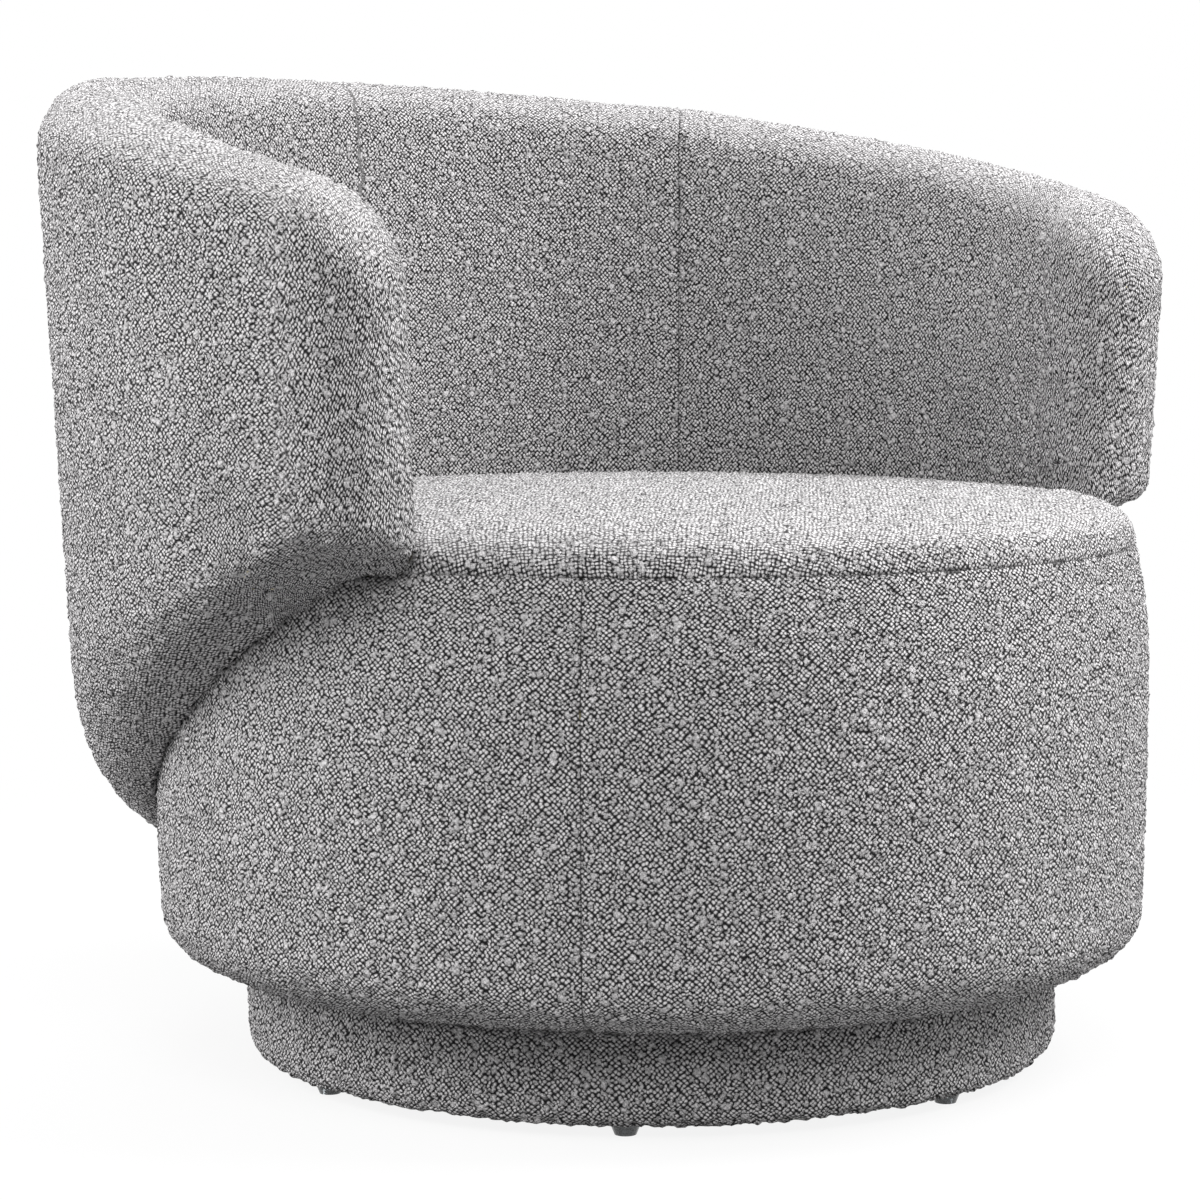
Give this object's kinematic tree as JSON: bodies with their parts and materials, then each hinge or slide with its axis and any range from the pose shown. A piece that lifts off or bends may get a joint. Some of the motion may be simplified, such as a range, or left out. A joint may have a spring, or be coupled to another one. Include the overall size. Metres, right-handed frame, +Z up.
{
  "type": "swivel tub chair",
  "caption": "Round upholstered tub chair: a wraparound back and arms on a drum seat that swivels on a recessed round plinth.",
  "frame": {"origin": "middle of the chair's footprint, on the floor; the swivel axis stands 39.5 mm nearer the front, at y = -39.5 mm", "axes": "+Z up, the seat opens towards -Y, +X to the right of someone who faces the front of the chair"},
  "size_m": [0.9106, 0.8389, 0.765],
  "materials": {
    "boucle": "nubby light grey boucle, matt",
    "foam": "open-cell upholstery foam, matt",
    "wadding": "white fibre wadding, matt",
    "black_cloth": "black non-woven cloth, matt",
    "webbing": "black elastic webbing, matt",
    "plywood": "raw birch plywood, matt",
    "timber": "raw pine, matt",
    "fibreboard": "hardboard, smooth and matt",
    "zinc_steel": "zinc-plated steel, satin",
    "bearing_steel": "polished bearing steel",
    "cage_plastic": "moulded natural nylon, satin",
    "clear_plastic": "smoky clear polycarbonate, glossy"
  },
  "bodies": {
    "base": {"glides": "clear_plastic", "glide_nails": "zinc_steel", "plinth_dust_cloth": "black_cloth", "plinth_bottom_board": "plywood", "plinth_blocks": "timber", "plinth_wall": "plywood", "plinth_top_board": "plywood", "plinth_wadding": "wadding", "plinth_cover": "boucle", "swivel_lower_plate": "zinc_steel", "lower_plate_screws": "zinc_steel", "swivel_rivet": "zinc_steel"},
    "bearing": {"ball_cage": "cage_plastic", "bearing_balls": "bearing_steel"},
    "seat": {"back_bolts": "zinc_steel", "back_bottom_rail": "plywood", "back_cover_centre": "boucle", "back_cover_left": "boucle", "back_cover_right": "boucle", "back_foam": "foam", "back_inner_board": "plywood", "back_outer_board": "plywood", "back_ribs": "plywood", "back_top_rail": "plywood", "back_wadding": "wadding", "drum_cover_front": "boucle", "drum_cover_left": "boucle", "drum_cover_right": "boucle", "drum_liner": "fibreboard", "drum_side_foam": "foam", "seat_base_board": "plywood", "seat_dust_cloth": "black_cloth", "seat_foam": "foam", "seat_posts": "timber", "seat_top_cover": "boucle", "seat_top_ring": "plywood", "swivel_upper_plate": "zinc_steel", "upper_plate_bolts": "zinc_steel", "upper_plate_nuts": "zinc_steel", "webbing_crosswise": "webbing", "webbing_lengthwise": "webbing"}
  },
  "joints": [
    {"name": "seat_swivel", "type": "hinge", "parent": "base", "child": "seat", "pos_m": [0, -0.0395, 0.0835], "axis": [0, 0, 1], "continuous": true},
    {"name": "bearing_cage", "type": "hinge", "parent": "base", "child": "bearing", "pos_m": [0, -0.0395, 0.0835], "axis": [0, 0, 1], "continuous": true}
  ],
  "couplings": [
    {"joint": "bearing_cage", "follows": "seat_swivel", "ratio": 0.5}
  ]
}
